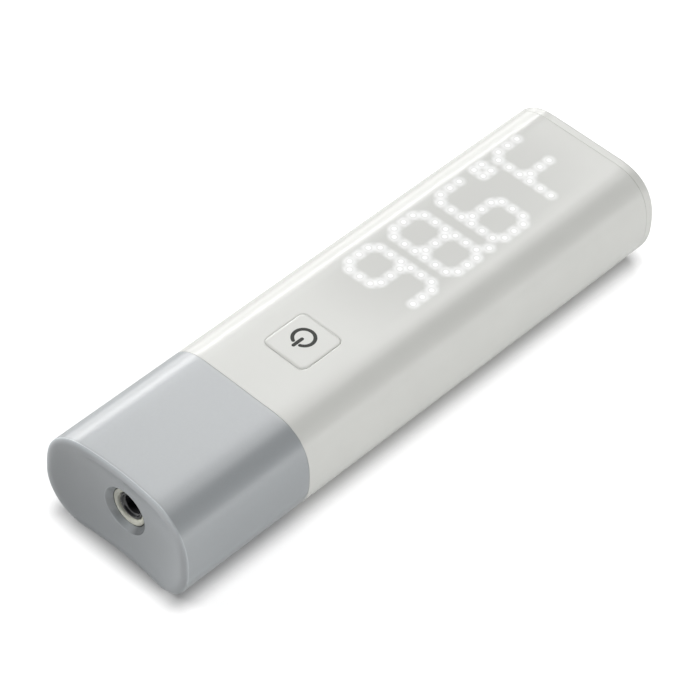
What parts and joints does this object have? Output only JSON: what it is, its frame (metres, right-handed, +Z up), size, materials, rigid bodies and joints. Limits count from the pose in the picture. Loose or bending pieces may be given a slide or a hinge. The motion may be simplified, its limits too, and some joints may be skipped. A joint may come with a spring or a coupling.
{
  "type": "no-touch forehead thermometer",
  "caption": "White stick-shaped no-touch forehead thermometer with a dotted light read-out, a square power button, a grey sensor nose and a pull-off battery cap.",
  "frame": {"origin": "middle of the length and width, on the plane of the flat underside", "axes": "+X from the sensor nose to the tail, +Y across the body, +Z up through the display face"},
  "size_m": [0.138, 0.039, 0.0239],
  "materials": {
    "shell_white": "satin moulded plastic",
    "nose_grey": "fine-grained satin plastic",
    "button_white": "satin moulded plastic",
    "mark_grey": "printed ink",
    "switch_black": "moulded",
    "plunger_buff": "moulded",
    "frame_plastic": "moulded",
    "board_green": "solder mask",
    "led_white": "clear resin",
    "baffle_white": "moulded",
    "film_white": "translucent film",
    "chip_black": "moulded",
    "ferrite": "sintered",
    "ceramic_tan": "fired ceramic",
    "steel": "plated",
    "ring_cream": "moulded",
    "barrel_black": "polished",
    "gasket_rubber": "matte",
    "holder_black": "moulded",
    "window_dark": "coated silicon",
    "can_nickel": "nickel plated",
    "pin_gold": "gold plated",
    "ribbon_amber": "polyimide film",
    "screw_steel": "zinc plated",
    "cell_jacket": "printed jacket"
  },
  "bodies": {
    "body": {"sleeve": "shell_white", "nose_cap": "nose_grey", "switch_body": "switch_black", "chassis": "frame_plastic", "main_board": "board_green", "led_emitters": "led_white", "led_baffle": "baffle_white", "diffuser_film": "film_white", "microcontroller": "chip_black", "inductor": "ferrite", "passive_parts": "ceramic_tan", "vibration_motor": "steel", "sensor_ring": "ring_cream", "sensor_barrel": "barrel_black", "sensor_gasket": "gasket_rubber", "sensor_holder": "holder_black", "sensor_window": "window_dark", "thermopile_can": "can_nickel", "sensor_pins": "pin_gold", "sensor_board": "board_green", "sensor_ribbon": "ribbon_amber", "sensor_screws": "screw_steel", "chassis_screws": "screw_steel", "board_screws": "screw_steel", "cell_left": "cell_jacket", "cell_right": "cell_jacket", "plus_contact": "steel", "minus_contact": "steel"},
    "button": {"button_cap": "button_white", "power_icon": "mark_grey", "switch_plunger": "plunger_buff"},
    "tail": {"tail_cap": "shell_white", "bridge_contact": "steel"}
  },
  "joints": [
    {"name": "button_press", "type": "slide", "parent": "body", "child": "button", "axis": [0, 0, -1], "range_m": [0, 0.0004], "stiffness_N_per_m": 800, "springref_m": -0.0005},
    {"name": "tail_cap_pull", "type": "slide", "parent": "body", "child": "tail", "axis": [1, 0, 0], "range_m": [0, 0.03]}
  ]
}
